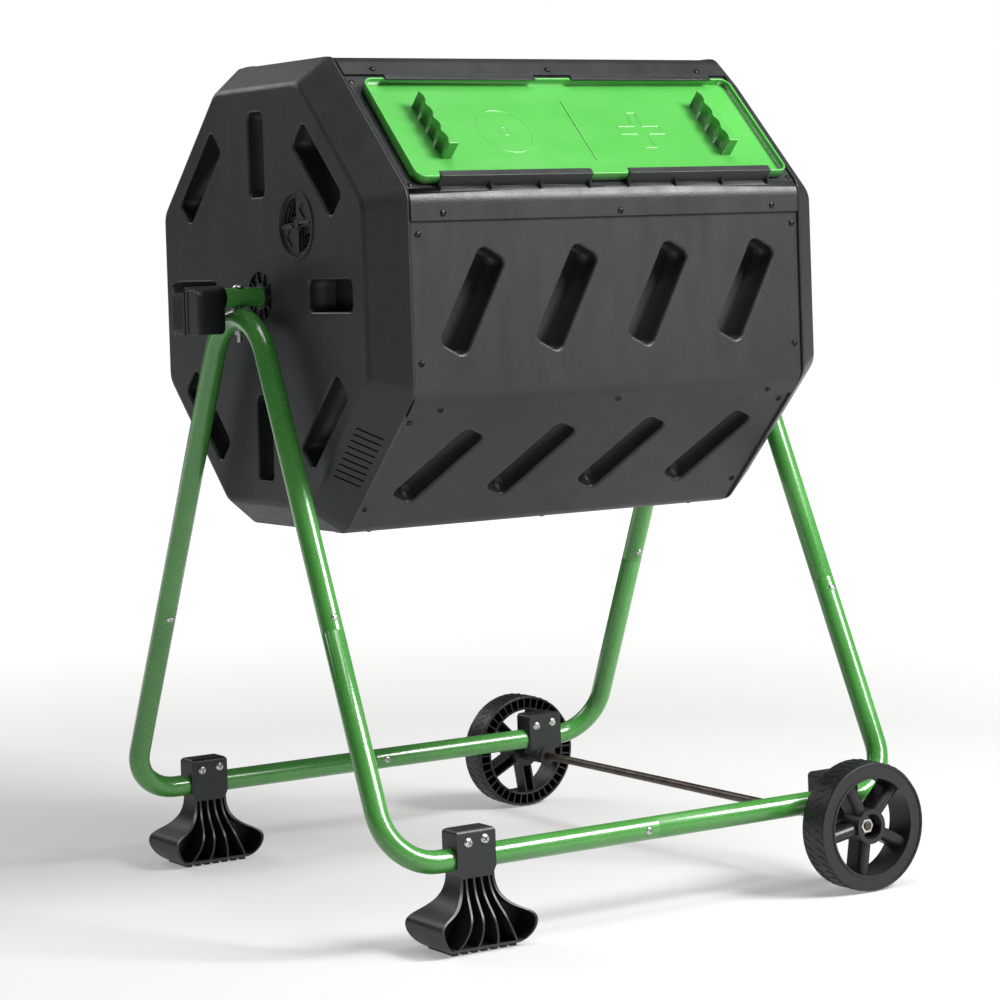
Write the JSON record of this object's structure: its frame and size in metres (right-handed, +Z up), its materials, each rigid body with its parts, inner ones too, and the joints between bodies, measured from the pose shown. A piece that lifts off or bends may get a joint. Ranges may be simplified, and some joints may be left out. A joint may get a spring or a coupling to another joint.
{
  "type": "compost tumbler",
  "caption": "Eight-sided twin-chamber compost drum with one sliding door, turning on a through tube in a wheeled tubular stand with a lift grip.",
  "frame": {"origin": "on the floor, under the middle of the whole object's box", "axes": "+Z up, +X along the drum towards the wheels, -Y towards the side with the door"},
  "size_m": [0.747, 0.7494, 0.955],
  "materials": {
    "black_plastic": "finely textured moulding",
    "hub_plastic": "smooth moulding",
    "wheel_plastic": "smooth moulding",
    "green_plastic": "satin moulding",
    "green_paint": "gloss powder coat",
    "zinc": "zinc plated",
    "black_screw": "black oxide",
    "dark_steel": "rolled bar"
  },
  "bodies": {
    "stand": {"left_frame_top": "green_paint", "right_frame_top": "green_paint", "front_left_lower_tube": "green_paint", "front_right_lower_tube": "green_paint", "back_left_lower_tube": "green_paint", "back_right_lower_tube": "green_paint", "leg_joint_screws": "zinc", "rail_joint_screws": "zinc", "front_foot": "black_plastic", "back_foot": "black_plastic", "foot_bolts": "zinc", "foot_bolt_nuts": "zinc", "front_wheel_bracket": "black_plastic", "back_wheel_bracket": "black_plastic", "bracket_bolts": "zinc", "bracket_bolt_nuts": "zinc", "wheel_axle_rod": "dark_steel", "wheel_nuts": "zinc", "wheel_washers": "zinc", "axle_tube": "green_paint", "axle_bolts": "zinc", "axle_bolt_nuts": "zinc", "lift_grip": "black_plastic", "axle_end_plug": "black_plastic"},
    "drum": {"left_end_cap": "black_plastic", "right_end_cap": "black_plastic", "left_hub": "hub_plastic", "right_hub": "hub_plastic", "top_panel": "black_plastic", "door_frame_panel": "black_plastic", "front_panel": "black_plastic", "lower_front_panel": "black_plastic", "bottom_panel": "black_plastic", "lower_back_panel": "black_plastic", "back_panel": "black_plastic", "upper_back_panel": "black_plastic", "chamber_divider": "black_plastic", "divider_bush": "hub_plastic", "seam_screws": "black_screw", "rim_screws": "black_screw", "left_vent_mesh": "black_plastic", "right_vent_mesh": "black_plastic", "left_vent_pin": "hub_plastic", "right_vent_pin": "hub_plastic"},
    "door": {"sliding_door": "green_plastic"},
    "left_shutter": {"left_vent_shutter": "black_plastic"},
    "right_shutter": {"right_vent_shutter": "black_plastic"},
    "front_wheel_body": {"front_wheel": "wheel_plastic"},
    "back_wheel_body": {"back_wheel": "wheel_plastic"}
  },
  "joints": [
    {"name": "drum_spin", "type": "hinge", "parent": "stand", "child": "drum", "pos_m": [0.0235, 0, 0.689], "axis": [-1, 0, 0], "continuous": true},
    {"name": "door_slide", "type": "slide", "parent": "drum", "child": "door", "axis": [1, 0, 0], "range_m": [-0.235, 0.055]},
    {"name": "left_vent_turn", "type": "hinge", "parent": "drum", "child": "left_shutter", "pos_m": [-0.2775, -0.08838, 0.76719], "axis": [1, 0, 0], "range_deg": [0, 90]},
    {"name": "right_vent_turn", "type": "hinge", "parent": "drum", "child": "right_shutter", "pos_m": [0.3245, 0.08838, 0.76719], "axis": [-1, 0, 0], "range_deg": [0, 90]},
    {"name": "front_wheel_spin", "type": "hinge", "parent": "stand", "child": "front_wheel_body", "pos_m": [0.275, -0.356, 0.0725], "axis": [0, 1, 0], "continuous": true},
    {"name": "back_wheel_spin", "type": "hinge", "parent": "stand", "child": "back_wheel_body", "pos_m": [0.275, 0.356, 0.0725], "axis": [0, 1, 0], "continuous": true}
  ]
}
